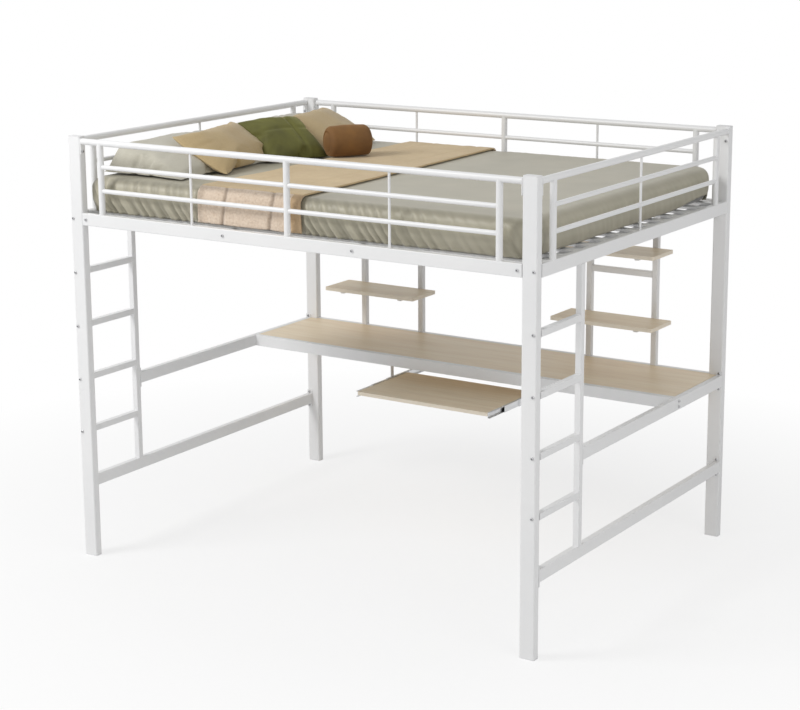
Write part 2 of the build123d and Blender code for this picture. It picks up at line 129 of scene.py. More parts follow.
# Pillows, from the lowest: width, depth, thickness, distance from the bed head, y, lift, turn, lean, slump,
# size of the wrinkles and fill
PILLOWS = {
    "sage_pillow_front": (0.650, 0.415, 0.128, 0.195, -0.342, 0.042, 0.0, 13.0, 0.95, 0.0065, 0.55),
    "sage_pillow_back": (0.650, 0.415, 0.130, 0.195, 0.342, 0.043, 0.0, 14.0, 0.95, 0.0065, 0.55),
    "tan_pillow_front": (0.560, 0.285, 0.118, 0.282, -0.222, 0.070, 12.0, 31.0, 0.0, 0.0045, 0.65),
    "tan_pillow_back": (0.560, 0.295, 0.118, 0.322, 0.380, 0.076, 9.0, 28.0, 0.0, 0.0045, 0.65),
    "green_cushion": (0.300, 0.290, 0.110, 0.344, 0.064, 0.073, -22.0, 30.0, 0.0, 0.0045, 0.75),
}
PILLOW_STEP = 0.0085
PILLOW_BOW = 0.05
PILLOW_GAP = 0.001
PILLOW_SLACK_X = 1.08
PILLOW_SLACK_Y = 1.1
PILLOW_START = 0.30
PILLOW_SQUASH = 0.012
PILLOW_SHARP = 60.0
CROSS_AT = (0.16, 0.05)
CROSS_DEPTH = 0.010
CLOTH_FRAMES = 22
CLOTH = {
    "quality": 5,
    "mass": 0.25,
    "tension_stiffness": 12.0,
    "compression_stiffness": 12.0,
    "shear_stiffness": 4.0,
    "bending_stiffness": 0.4,
    "air_damping": 4.0,
    "use_pressure": True,
    "uniform_pressure_force": 3.0,
}

# Bolster
BOLSTER_L = 0.205
BOLSTER_D = 0.134
BOLSTER_TURN = 56.0
BOLSTER_CORNER_R = 0.022
BOLSTER_DOME = 0.013
BOLSTER_BEAD = 0.0025
BOLSTER_BEAD_STEP = 0.0014
BOLSTER_BEAD_W = 0.006
BOLSTER_AROUND = 96
BOLSTER_SQUASH = 0.01
BOLSTER_SINK = 0.005

# Bolt sockets: share of the crown that they take up, and the width and rise of each ring of the rim
SOCKET_SHARE = 0.5
SOCKET_SIDES = 6
SOCKET_RINGS = ((1.12, 0.00002), (1.04, 0.00018), (1.0, 0.00006))

mattress_low, mattress_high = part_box("mattress")
spread_low, spread_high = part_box("bedspread")
throw_low, throw_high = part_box("throw_blanket")
bed_top = spread_high.z
head_x = mattress_low.x


def smoothstep(low, high, value):
    t = min(1.0, max(0.0, (value - low) / (high - low)))
    return t * t * (3 - 2 * t)


def wobble(x, y=0.0, z=0.0):
    """Smooth noise from -1 to 1."""
    return noise.noise(Vector((x, y, z)))


def add_mesh(name, points, faces, smooth=True):
    mesh = bpy.data.meshes.new(name)
    mesh.from_pydata([tuple(p) for p in points], [], faces)
    mesh.validate()
    obj = bpy.data.objects.new(name, mesh)
    bpy.context.scene.collection.objects.link(obj)
    if smooth:
        mesh.polygons.foreach_set("use_smooth", [True] * len(mesh.polygons))
    return obj


def grid_faces(rows, columns, closed=False):
    """Quads between rows of points. A closed grid joins each row's end to its start."""
    faces = []
    last = columns if closed else columns - 1
    for r in range(rows - 1):
        for c in range(last):
            d = (c + 1) % columns
            faces.append((r * columns + c, r * columns + d, (r + 1) * columns + d, (r + 1) * columns + c))
    return faces


def face_outward(obj):
    """Turns the faces of a closed mesh outward."""
    bm = bmesh.new()
    bm.from_mesh(obj.data)
    bmesh.ops.recalc_face_normals(bm, faces=bm.faces)
    bm.to_mesh(obj.data)
    bm.free()


def bake(obj):
    """Keeps the mesh that a piece's modifiers make, and drops the modifiers."""
    graph = bpy.context.evaluated_depsgraph_get()
    done = bpy.data.meshes.new_from_object(obj.evaluated_get(graph))
    obj.modifiers.clear()
    obj.data = done


def islands(bm):
    """The separate bodies of a mesh, as lists of vertices."""
    seen = set()
    found = []
    for first in bm.verts:
        if first in seen:
            continue
        seen.add(first)
        body = [first]
        for vert in body:
            for edge in vert.link_edges:
                other = edge.other_vert(vert)
                if other not in seen:
                    seen.add(other)
                    body.append(other)
        found.append(body)
    return found


# Materials


class Shader:
    """A node tree with a Principled shader, and short calls for the nodes that the finishes share."""

    def __init__(self, name, color, roughness):
        self.material = bpy.data.materials.new(name)
        self.material.use_nodes = True
        self.tree = self.material.node_tree
        self.main = self.tree.nodes["Principled BSDF"]
        self.main.inputs["Base Color"].default_value = (*color, 1.0)
        self.main.inputs["Roughness"].default_value = roughness
        self.place = self.node("ShaderNodeTexCoord").outputs["Object"]

    def node(self, kind, **values):
        made = self.tree.nodes.new(kind)
        for key, value in values.items():
            setattr(made, key, value)
        return made

    def link(self, source, target):
        self.tree.links.new(source, target)

    def feed(self, socket, value):
        """Links a socket to another one, or sets it to a constant."""
        if isinstance(value, bpy.types.NodeSocket):
            self.link(value, socket)
        else:
            socket.default_value = value

    def scaled(self, scale):
        mapping = self.node("ShaderNodeMapping")
        mapping.inputs["Scale"].default_value = scale
        self.link(self.place, mapping.inputs["Vector"])
        return mapping.outputs["Vector"]

    def noise(self, scale, detail=3.0, vector=None, roughness=0.5):
        made = self.node("ShaderNodeTexNoise")
        made.inputs["Scale"].default_value = scale
        made.inputs["Detail"].default_value = detail
        made.inputs["Roughness"].default_value = roughness
        self.link(self.place if vector is None else vector, made.inputs["Vector"])
        return made.outputs["Fac"]

    def ramp(self, source, *stops):
        made = self.node("ShaderNodeValToRGB")
        elements = made.color_ramp.elements
        while len(elements) < len(stops):
            elements.new(0.5)
        for element, (position, color) in zip(elements, stops):
            element.position = position
            element.color = (*color, 1.0)
        self.link(source, made.inputs["Fac"])
        return made.outputs["Color"]

    def mix(self, factor, a, b, blend="MIX"):
        made = self.node("ShaderNodeMix", data_type="RGBA", blend_type=blend)
        for key, value in (("Factor", factor), ("A", a), ("B", b)):
            self.feed(made.inputs[key], value)
        return made.outputs["Result"]

    def math(self, operation, a, b=0.0):
        made = self.node("ShaderNodeMath", operation=operation)
        self.feed(made.inputs[0], a)
        self.feed(made.inputs[1], b)
        return made.outputs[0]

    def span(self, source, low, high):
        """Maps 0 to 1 on a range."""
        made = self.node("ShaderNodeMapRange")
        made.inputs["To Min"].default_value = low
        made.inputs["To Max"].default_value = high
        self.link(source, made.inputs["Value"])
        return made.outputs["Result"]

    def bump(self, height, strength, distance):
        made = self.node("ShaderNodeBump")
        made.inputs["Strength"].default_value = strength
        made.inputs["Distance"].default_value = distance
        self.link(height, made.inputs["Height"])
        self.link(made.outputs["Normal"], self.main.inputs["Normal"])

    def set(self, **values):
        for key, value in values.items():
            self.main.inputs[key.replace("_", " ")].default_value = value

    def color(self, source):
        self.link(source, self.main.inputs["Base Color"])

    def roughness(self, source):
        self.link(source, self.main.inputs["Roughness"])


def white_steel():
    """Satin powder coat with a fine orange peel."""
    s = Shader("white_steel", (0.83, 0.83, 0.83), 0.4)
    s.color(s.ramp(s.noise(3.0), (0.3, (0.815, 0.817, 0.82)), (0.7, (0.845, 0.845, 0.845))))
    s.roughness(s.span(s.noise(40.0), 0.34, 0.46))
    s.bump(s.noise(420.0, 2.0), 0.12, 0.0004)
    s.set(Coat_Weight=0.15, Coat_Roughness=0.25)
    return s.material


def white_plastic():
    """Moulded end plugs with a fine spark texture."""
    s = Shader("white_plastic", (0.80, 0.80, 0.80), 0.5)
    s.color(s.ramp(s.noise(9.0), (0.3, (0.785, 0.785, 0.79)), (0.7, (0.815, 0.815, 0.815))))
    s.roughness(s.span(s.noise(900.0, 2.0), 0.45, 0.6))
    s.bump(s.noise(1500.0, 2.0), 0.15, 0.0002)
    return s.material


def bolt_steel():
    """Zinc-plated button heads with small patches of light and dark."""
    s = Shader("bolt_steel", (0.52, 0.52, 0.53), 0.32)
    s.set(Metallic=1.0)
    s.color(s.ramp(s.noise(220.0), (0.3, (0.40, 0.40, 0.41)), (0.7, (0.60, 0.60, 0.61))))
    s.roughness(s.span(s.noise(600.0), 0.25, 0.42))
    return s.material


def slide_steel():
    """Zinc-plated slide members, drawn along their length."""
    s = Shader("slide_steel", (0.66, 0.67, 0.68), 0.35)
    s.set(Metallic=1.0)
    drawn = s.noise(60.0, 4.0, s.scaled((8.0, 0.25, 8.0)))
    s.color(s.ramp(drawn, (0.3, (0.56, 0.57, 0.585)), (0.7, (0.74, 0.745, 0.75))))
    s.roughness(s.span(drawn, 0.26, 0.44))
    s.bump(drawn, 0.1, 0.0002)
    return s.material


def oak_board():
    """Light oak board: long grain along X with fine pores, and a paler band round its edges."""
    s = Shader("oak_board", (0.74, 0.60, 0.43), 0.45)
    broad = s.noise(2.2, 5.0, s.scaled((0.9, 9.0, 9.0)), 0.55)
    fine = s.noise(9.0, 6.0, s.scaled((0.8, 26.0, 26.0)), 0.6)
    dark, middle, light = (0.80, 0.645, 0.445), (0.87, 0.73, 0.525), (0.92, 0.80, 0.61)
    wood = s.ramp(broad, (0.25, dark), (0.5, middle), (0.75, light))
    pores = s.ramp(fine, (0.36, (0.86, 0.84, 0.82)), (0.52, (1.0, 1.0, 1.0)))
    face = s.mix(0.65, wood, pores, "MULTIPLY")
    up = s.node("ShaderNodeSeparateXYZ")
    s.link(s.node("ShaderNodeNewGeometry").outputs["Normal"], up.inputs["Vector"])
    flat = s.math("GREATER_THAN", s.math("ABSOLUTE", up.outputs["Z"]), 0.7)
    band = s.ramp(fine, (0.3, (0.83, 0.73, 0.58)), (0.7, (0.90, 0.82, 0.69)))
    s.color(s.mix(flat, band, face))
    s.roughness(s.span(fine, 0.38, 0.55))
    s.bump(fine, 0.12, 0.0004)
    return s.material


def fabric(name, dark, light, weave, rough=0.85, sheen=0.3, slub=60.0):
    """Woven cloth: two sets of threads, slubs along them, and slow changes of shade."""
    s = Shader(name, light, rough)
    warp = s.node("ShaderNodeTexWave", bands_direction="X")
    weft = s.node("ShaderNodeTexWave", bands_direction="Y")
    for threads in (warp, weft):
        threads.inputs["Scale"].default_value = weave
        threads.inputs["Distortion"].default_value = 1.5
        threads.inputs["Detail"].default_value = 1.0
        s.link(s.place, threads.inputs["Vector"])
    threads = s.math("MULTIPLY", warp.outputs["Fac"], weft.outputs["Fac"])
    slow = s.noise(7.0, 4.0)
    slubs = s.noise(slub, 3.0, s.scaled((1.0, 5.0, 5.0)))
    shade = s.math("ADD", s.math("MULTIPLY", slow, 0.55), s.math("MULTIPLY", slubs, 0.45))
    s.color(s.ramp(shade, (0.32, dark), (0.68, light)))
    s.roughness(s.span(slubs, rough - 0.08, min(1.0, rough + 0.08)))
    height = s.math("ADD", s.math("MULTIPLY", threads, 0.6), s.math("MULTIPLY", slubs, 0.6))
    s.bump(height, 0.35, 0.0006)
    s.set(Sheen_Weight=sheen, Sheen_Roughness=0.45)
    return s.material


def sateen():
    """Smooth sage sateen: threads too fine to see, with painted shade in the valleys of its folds and
    painted light on their ridges.
    """
    s = Shader("sage_cotton", (0.41, 0.38, 0.29), 0.46)
    slow = s.noise(6.0, 4.0)
    cloth = s.ramp(slow, (0.3, (0.38, 0.355, 0.268)), (0.7, (0.445, 0.415, 0.322)))
    # Painted shade and light of the folds: the fold attribute darkens the valleys and lightens the ridges.
    fold_painted_shade = s.node("ShaderNodeAttribute", attribute_name="fold_painted_shade").outputs["Fac"]
    valleys = s.ramp(fold_painted_shade, (0.0, (0.62, 0.62, 0.62)), (1.0, (1.12, 1.12, 1.12)))
    s.color(s.mix(1.0, cloth, valleys, "MULTIPLY"))
    s.roughness(s.span(slow, 0.42, 0.52))
    s.bump(s.noise(900.0, 2.0, s.scaled((1.0, 4.0, 4.0))), 0.2, 0.0002)
    s.set(Sheen_Weight=0.15, Sheen_Roughness=0.4)
    return s.material


def boucle():
    """Looped wool pile: small round curls, with painted shade in the gaps between them and painted shade
    along the sewn seams.
    """
    s = Shader("boucle", (0.70, 0.56, 0.44), 0.95)
    curls = s.node("ShaderNodeTexVoronoi", feature="SMOOTH_F1")
    curls.inputs["Scale"].default_value = 130.0
    s.link(s.place, curls.inputs["Vector"])
    deep = curls.outputs["Distance"]
    # Painted shade: lighter at the middle of each curl, darker in the gaps between curls.
    shade = s.ramp(deep, (0.1, (0.78, 0.645, 0.51)), (0.5, (0.70, 0.56, 0.43)), (0.9, (0.52, 0.39, 0.28)))
    patches = s.ramp(s.noise(30.0), (0.3, (0.62, 0.49, 0.37)), (0.7, (0.78, 0.655, 0.53)))
    wool = s.mix(0.3, shade, patches)
    # Painted shade along the throw's sewn seams.
    seam = s.node("ShaderNodeAttribute", attribute_name="seam").outputs["Fac"]
    seam_painted_shade = s.ramp(seam, (0.1, (1.0, 1.0, 1.0)), (1.0, (0.55, 0.52, 0.50)))
    s.color(s.mix(1.0, wool, seam_painted_shade, "MULTIPLY"))
    s.bump(s.math("SUBTRACT", 1.0, deep), 0.8, 0.003)
    s.set(Sheen_Weight=0.5, Sheen_Roughness=0.6)
    return s.material


def velvet(name, dark, light, tint):
    """Short pile with a strong sheen and brushed patches."""
    s = Shader(name, light, 0.8)
    brushed = s.noise(11.0, 3.0)
    pile = s.noise(700.0, 2.0)
    shade = s.math("ADD", s.math("MULTIPLY", brushed, 0.8), s.math("MULTIPLY", pile, 0.2))
    s.color(s.ramp(shade, (0.3, dark), (0.7, light)))
    s.roughness(s.span(brushed, 0.7, 0.9))
    s.bump(pile, 0.25, 0.0006)
    s.set(Sheen_Weight=0.35, Sheen_Roughness=0.4, Sheen_Tint=(*tint, 1.0))
    return s.material


FINISH = {
    "white_steel": white_steel(),
    "white_plastic": white_plastic(),
    "bolt_steel": bolt_steel(),
    "slide_steel": slide_steel(),
    "oak_board": oak_board(),
    "ticking": fabric("ticking", (0.20, 0.20, 0.195), (0.29, 0.29, 0.28), 420.0),
    "sage_cotton": sateen(),
    "throw_fabric": fabric("throw_fabric", (0.58, 0.43, 0.235), (0.71, 0.55, 0.325), 330.0, 0.85, 0.2, 45.0),
    "sage_linen": fabric("sage_linen", (0.49, 0.465, 0.385), (0.58, 0.555, 0.465), 520.0, 0.8, 0.3),
    "tan_cotton": fabric("tan_cotton", (0.45, 0.33, 0.165), (0.565, 0.435, 0.235), 560.0, 0.72, 0.2),
    "green_velvet": velvet("green_velvet", (0.070, 0.068, 0.012), (0.140, 0.138, 0.028), (0.5, 0.5, 0.2)),
    "brown_velvet": velvet("brown_velvet", (0.12, 0.054, 0.014), (0.225, 0.108, 0.030), (0.7, 0.42, 0.2)),
}
BOUCLE = boucle()
TRIM = fabric("throw_trim", (0.50, 0.35, 0.20), (0.62, 0.46, 0.285), 480.0)

SLOTS = {row["node"]: row["material_slot"] for row in frame["record"]["subparts"]}
for name, slot in SLOTS.items():
    node = frame["nodes"][name]
    node.data.materials.clear()
    node.data.materials.append(FINISH[slot])


def dress(obj, node):
    """Gives a new piece its finish and its body, and hides the CAD node that it stands for."""
    slot = SLOTS[node]
    obj.data.materials.append(FINISH[slot])
    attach(obj, "frame")
    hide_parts(node)
    return obj


# Mattress


def rounded_loop(half_x, half_y, radius, count):
    """Evenly spaced points round a rounded rectangle, with their outward normals."""
    radius = max(1e-4, min(radius, half_x, half_y))
    a, b = half_x - radius, half_y - radius
    quarter = radius * math.pi / 2
    runs = [2 * b, quarter, 2 * a, quarter, 2 * b, quarter, 2 * a, quarter]
    starts = [(half_x, -b), (a, b), (a, half_y), (-a, b), (-half_x, b), (-a, -b), (-a, -half_y), (a, -b)]
    ways = [(0, 1), 0, (-1, 0), 90, (0, -1), 180, (1, 0), 270]
    total = sum(runs)
    points, normals = [], []
    for k in range(count):
        s = k * total / count
        part = 0
        while part < 7 and s > runs[part]:
            s -= runs[part]
            part += 1
        x, y = starts[part]
        way = ways[part]
        if isinstance(way, tuple):
            points.append((x + way[0] * s, y + way[1] * s))
            normals.append((way[1], -way[0]))
        else:
            angle = math.radians(way) + s / radius
            points.append((x + radius * math.cos(angle), y + radius * math.sin(angle)))
            normals.append((math.cos(angle), math.sin(angle)))
    return points, normals


def make_mattress():
    """A foam mattress in its cover: rounded edges, fuller below, with a corded seam beside each."""
    half = (mattress_high - mattress_low) / 2
    middle = (mattress_high + mattress_low) / 2
    count = int(4 * (half.x + half.y) / MATTRESS_STEP)
    edge, below, cord = MATTRESS_TOP_R, MATTRESS_LOW_R, MATTRESS_CORD
    low_edge, top_edge = -half.z + below, half.z - edge
    profile = [(inset, -half.z) for inset in (*MATTRESS_RINGS, below + 0.02)]
    for k in range(9):
        a = math.pi / 2 * k / 8
        profile.append((below * (1 - math.sin(a)), -half.z + below * (1 - math.cos(a))))
    profile += [(-cord, low_edge + cord), (0.0, low_edge + MATTRESS_SEAM)]
    profile += [(MATTRESS_WAIST, 0.0), (MATTRESS_WAIST, 0.015)]
    profile += [(0.0, top_edge - MATTRESS_SEAM), (-cord, top_edge - cord)]
    for k in range(7):
        a = math.pi / 2 * k / 6
        profile.append((edge * (1 - math.cos(a)), half.z - edge * (1 - math.sin(a))))
    profile += [(inset, half.z) for inset in (edge + 0.02, *reversed(MATTRESS_RINGS))]
    points = []
    for inset, z in profile:
        inset += cord
        radius = max(MATTRESS_CORNER_R - inset, 0.01)
        loop, _ = rounded_loop(half.x - inset, half.y - inset, radius, count)
        points += [(x + middle.x, y + middle.y, z + middle.z) for x, y in loop]
    faces = grid_faces(len(profile), count, closed=True)
    faces.append(tuple(reversed(range(count))))
    faces.append(tuple(range(len(points) - count, len(points))))
    return add_mesh("mattress_cover", points, faces)


mattress = dress(make_mattress(), "mattress")


# Bedspread


def under_throw(x):
    """1 where the throw lies on the bedspread, fading to 0 past its edges."""
    past_right = smoothstep(THROW_RIGHT_FRONT, THROW_RIGHT_FRONT + THROW_FADE, x)
    return smoothstep(THROW_LEFT - THROW_FADE, THROW_LEFT, x) * (1 - past_right)


def pleat(s, fall):
    """Gathered folds along the drop: narrow ridges of uneven width that lean as they fall."""
    s -= PLEAT_LEAN * fall * (1 + 0.6 * wobble(s * 2.0, 4.0))
    wide = s / PLEAT_PITCH + 0.9 * wobble(s * 7.0)
    narrow = s / (0.58 * PLEAT_PITCH) + 0.7 * wobble(s * 11.0, 8.0)
    ridge = (0.5 + 0.5 * math.cos(2 * math.pi * wide)) ** 1.3
    thin = (0.5 + 0.5 * math.cos(2 * math.pi * narrow)) ** 2.0
    return 0.72 * ridge + 0.28 * thin


def gathering(x, normal_y):
    """How strongly the drop is gathered, from 0 to 1, by its place round the bed."""
    along = abs(normal_y) ** 3
    right = 0.25 + 0.75 * (1 - smoothstep(0.30, 0.80, x))
    strength = max(right, 0.55 * smoothstep(0.84, 0.95, x)) if x > 0 else 1.0
    return max(0.07, strength * along) * (1 - under_throw(x))


def make_bedspread():
    """One cloth over the mattress: smooth on top, rolled over the edges and gathered along the hem."""
    half_x = mattress_high.x + SPREAD_GAP
    half_y = mattress_high.y + SPREAD_GAP
    hem = spread_low.z
    top = bed_top - 0.0015
    count = int(4 * (half_x + half_y) / SPREAD_STEP)
    insets = [half_y * (1 - (k / SPREAD_RINGS) ** 1.2) for k in range(SPREAD_RINGS)]
    insets = [d for d in insets if d > SPREAD_EDGE_R + 0.012]
    profile = [(d, top, 0.0) for d in insets] + [(SPREAD_EDGE_R + 0.006, top, 0.02)]
    for k in range(9):
        a = math.pi / 2 * k / 8
        d = SPREAD_EDGE_R * (1 - math.sin(a))
        profile.append((d, top - SPREAD_EDGE_R * (1 - math.cos(a)), 0.03 + 0.25 * k / 8))
    drop_top = top - SPREAD_EDGE_R
    for k in range(1, SPREAD_DROP_ROWS + 1):
        t = k / SPREAD_DROP_ROWS
        profile.append((0.0, drop_top + (hem - drop_top) * t, 0.28 + 0.72 * t))
    profile += [(0.003, hem + 0.0005, 1.0), (0.005, hem + 0.004, 1.0), (0.005, hem + SPREAD_HEM, 0.95)]
    outer, _ = rounded_loop(half_x, half_y, SPREAD_CORNER_R, count)
    length = 0.0
    run = [0.0]
    for p, q in zip(outer, outer[1:]):
        length += math.dist(p, q)
        run.append(length)
    points = []
    folds = []
    for inset, z, fall in profile:
        radius = max(SPREAD_CORNER_R - inset, 0.002)
        loop, normals = rounded_loop(half_x - inset, half_y - inset, radius, count)
        for (x, y), (nx, ny), s in zip(loop, normals, run):
            out = HEAD_FULLNESS * smoothstep(0.3, 0.9, -nx) * smoothstep(0.0, 0.3, fall)
            high = z
            # Painted shade of the folds: lower in the valleys and higher on the ridges, kept on the cloth
            # for the sateen finish.
            shade = 0.76
            free = 1 - under_throw(x)
            corner = smoothstep(0.30, 0.72, y) * smoothstep(0.9, 1.0, nx)
            if fall > 0:
                amount = gathering(x, ny) * fall ** 0.5
                ridge = pleat(s, fall)
                shade += amount * (ridge - 0.5)
                out += PLEAT_DEPTH * amount * ridge
                out += DROP_BULGE * free * math.sin(math.pi * fall)
                loose = max(corner ** 0.5, 0.45 * smoothstep(0.5, 1.0, nx))
                out -= HEM_TUCK * (1 - loose) * smoothstep(0.62, 1.0, fall)
                beside = smoothstep(0.0, 0.3, fall) * (1 - smoothstep(0.62, 0.8, fall))
                out -= PRESSED_IN * (1 - free) * beside
                out += DROP_WAVE * free * fall * wobble(s * 9.0, fall * 2.0)
            if fall > 0.25:
                lift = HEM_LIFT_CORNER * corner + HEM_LIFT_FOOT * smoothstep(0.5, 1.0, nx)
                lift += HEM_WAVE * wobble(s * 5.0, 3.0)
                high += max(0.0, lift) * (fall - 0.25) / 0.75
            if fall < 0.25:
                ripple = TOP_RIPPLE * wobble(x * 3.2, y * 3.2)
                ripple += TOP_CREASE * wobble(x * 11.0, y * 11.0, 2.0)
                high += free * ripple - 0.001 - PRESSED_DOWN * (1 - free)
            points.append((x + nx * out, y + ny * out, high))
            folds.append(shade)
    faces = grid_faces(len(profile), count, closed=True)
    obj = add_mesh("bedspread_cloth", points, faces)
    obj.data.attributes.new("fold_painted_shade", "FLOAT", "POINT").data.foreach_set("value", folds)
    bm = bmesh.new()
    bm.from_mesh(obj.data)
    bm.verts.ensure_lookup_table()
    bmesh.ops.remove_doubles(bm, verts=bm.verts[:count], dist=0.001)
    bmesh.ops.recalc_face_normals(bm, faces=bm.faces)
    bm.to_mesh(obj.data)
    bm.free()
    return obj


bedspread = dress(make_bedspread(), "bedspread")


# Throw


def throw_edge(v):
    """The throw's right edge runs a little askew from the front hem to the back hem."""
    return THROW_RIGHT_FRONT + (THROW_RIGHT_BACK - THROW_RIGHT_FRONT) * v


def make_throw():
    """A padded throw over the full width of the bed, with a boucle drop and a trimmed edge at each side."""
    side = throw_high.y
    radius = THROW_EDGE_R
    top = throw_high.z
    hem = throw_low.z
    path = []
    for k in range(THROW_DROP_ROWS):
        path.append((-side, hem + (top - radius - hem) * k / THROW_DROP_ROWS, -1.0, 0.0))
    for k in range(THROW_EDGE_ROWS):
        a = math.pi / 2 * k / THROW_EDGE_ROWS
        ny, nz = -math.cos(a), math.sin(a)
        path.append((-side + radius * (1 + ny), top - radius * (1 - nz), ny, nz))
    front = list(path)
    for k in range(THROW_TOP_ROWS + 1):
        path.append((-side + radius + (2 * side - 2 * radius) * k / THROW_TOP_ROWS, top, 0.0, 1.0))
    for y, z, ny, nz in reversed(front):
        path.append((-y, z, -ny, nz))
    length = [0.0]
    for p, q in zip(path, path[1:]):
        length.append(length[-1] + math.dist(p[:2], q[:2]))
    columns = THROW_COLUMNS
    points = []
    sewn = []
    kinds = []
    for (y, z, ny, nz), s in zip(path, length):
        share = s / length[-1]
        right = throw_edge(share)
        fall = abs(ny)
        for c in range(columns + 1):
            u = c / columns
            x = THROW_LEFT + (right - THROW_LEFT) * u
            seams = 0.0
            for seam in THROW_SEAMS:
                bow = SEAM_BOW * fall * smoothstep(hem, top, z)
                seams = max(seams, math.exp(-((x - seam - bow) / SEAM_W) ** 2))
            sewn.append(seams)
            puff = DROP_PUFF * fall - (SEAM_DEPTH_DROP * fall + SEAM_DEPTH_TOP * (1 - fall)) * seams
            curls = CURL * fall * wobble(x * 210.0, y * 210.0, z * 210.0)
            slow = 0.0018 * wobble(x * 6.0, y * 6.0, z * 6.0) + 0.0011 * wobble(x * 26.0, y * 9.0)
            out = puff + curls + slow - 0.002
            low = 0.0025 * fall * wobble(x * 14.0, 5.0) * (1 - smoothstep(hem, hem + 0.03, z))
            points.append((x, y + ny * out, z + nz * out + low))
        kinds.append(fall)
    faces = grid_faces(len(path), columns + 1)
    obj = add_mesh("throw_cloth", points, faces)
    # The seam mask also places painted shade along the seams in the boucle finish.
    obj.data.attributes.new("seam", "FLOAT", "POINT").data.foreach_set("value", sewn)
    trim_from = 1 - TRIM_W / (THROW_RIGHT_FRONT - THROW_LEFT)
    materials = []
    for k in range(len(faces)):
        row, column = divmod(k, columns)
        drop_face = (kinds[row] + kinds[row + 1]) / 2 > 0.3
        materials.append((2 if column / columns > trim_from else 1) if drop_face else 0)
    return obj, materials


throw, throw_parts = make_throw()
dress(throw, "throw_blanket")
throw.data.materials.append(BOUCLE)
throw.data.materials.append(TRIM)
throw.data.polygons.foreach_set("material_index", throw_parts)
thickness = throw.modifiers.new("thickness", "SOLIDIFY")
thickness.thickness = THROW_T
thickness.offset = -1.0


# Pillows


def pouch(name, width, depth, thickness):
    """Two sheets sewn together at their edges, with a little filling to start from."""
    columns = int(width / PILLOW_STEP)
    rows = int(depth / PILLOW_STEP)
    points, faces = [], []
    index = {}
    for side in (1, -1):
        for r in range(rows + 1):
            for c in range(columns + 1):
                u, v = 2 * c / columns - 1, 2 * r / rows - 1
                rim = c in (0, columns) or r in (0, rows)
                if side < 0 and rim:
                    index[side, r, c] = index[1, r, c]
                    continue
                lift = PILLOW_START * thickness * (1 - u ** 4) * (1 - v ** 4)
                index[side, r, c] = len(points)
                bow_x = 1 + PILLOW_BOW * (1 - v * v)
                bow_y = 1 + PILLOW_BOW * (1 - u * u) * width / depth
                points.append((u * bow_x * width / 2, v * bow_y * depth / 2, side * lift))
        for r in range(rows):
            for c in range(columns):
                corners = ((r, c), (r, c + 1), (r + 1, c + 1), (r + 1, c))
                quad = [index[side, i, j] for i, j in corners]
                faces.append(quad if side > 0 else quad[::-1])
    return add_mesh(name, points, faces)


def inflate(obj):
    """Fills a pouch by cloth simulation and keeps the mesh that it comes to."""
    scene = bpy.context.scene
    cloth = obj.modifiers.new("filling", "CLOTH")
    for key, value in CLOTH.items():
        setattr(cloth.settings, key, value)
    cloth.settings.effector_weights.gravity = 0.0
    cloth.collision_settings.use_collision = False
    cloth.point_cache.frame_start = 1
    cloth.point_cache.frame_end = CLOTH_FRAMES
    for f in range(1, CLOTH_FRAMES + 1):
        scene.frame_set(f)
    bake(obj)
    scene.frame_set(1)


def vectors(rows, key):
    """One vector of each row of mesh data, as an array."""
    flat = np.zeros(len(rows) * 3)
    rows.foreach_get(key, flat)
    return flat.reshape(-1, 3)


def read_points(obj):
    return vectors(obj.data.vertices, "co")


def write_points(obj, points):
    obj.data.vertices.foreach_set("co", np.asarray(points, float).ravel())
    obj.data.update()


def flatten(points, floor, reach):
    """Squashes the points that come near a floor, or under it, so that they lie on it."""
    low = points[:, 2] < floor + reach
    points[low, 2] = floor + reach * np.exp((points[low, 2] - floor - reach) / reach)


def fit(obj, width, depth, thickness):
    """Brings a filled pouch to its size."""
    points = read_points(obj)
    size = points.max(0) - points.min(0)
    middle = (points.max(0) + points.min(0)) / 2
    write_points(obj, (points - middle) * (np.array((width, depth, thickness)) / size))


def press(obj, floor, place, thickness, slump):
    """Flattens a pillow on the bed. The slump lets its back and its seam sink down to the bed."""
    points = read_points(obj)
    front = np.array(place.to_3x3() @ Vector((0, 0, 1)))
    depth = (points - np.array(place.translation)) @ front / (thickness / 2)
    back = np.clip(1 - 2 * depth, 0.0, 1.0)
    back = back * back * (3 - 2 * back)
    points[:, 2] -= slump * back * np.maximum(0.0, points[:, 2] - floor)
    flatten(points, floor, PILLOW_SQUASH)
    write_points(obj, points)


def dent(obj, other):
    """Dents a pillow where another one lies on it, so that the two meet and don't cross."""
    grown = other.copy()
    grown.data = other.data.copy()
    bpy.context.scene.collection.objects.link(grown)
    normals = vectors(grown.data.vertex_normals, "vector")
    write_points(grown, read_points(grown) + PILLOW_GAP * normals)
    cut = obj.modifiers.new("dent", "BOOLEAN")
    cut.operation = "DIFFERENCE"
    cut.solver = "EXACT"
    cut.object = grown
    bake(obj)
    bpy.data.objects.remove(grown)
    bm = bmesh.new()
    bm.from_mesh(obj.data)
    bmesh.ops.split_edges(bm, edges=[edge for edge in bm.edges if len(edge.link_faces) > 2])
    bodies = sorted(islands(bm), key=len)
    bmesh.ops.delete(bm, geom=[vert for body in bodies[:-1] for vert in body], context="VERTS")
    bmesh.ops.holes_fill(bm, edges=[edge for edge in bm.edges if edge.is_boundary], sides=8)
    bm.to_mesh(obj.data)
    bm.free()


def apart(obj, other):
    """True where two pieces' boxes don't meet."""
    a, b = read_points(obj), read_points(other)
    return bool(np.any(a.min(0) > b.max(0)) or np.any(b.min(0) > a.max(0)))


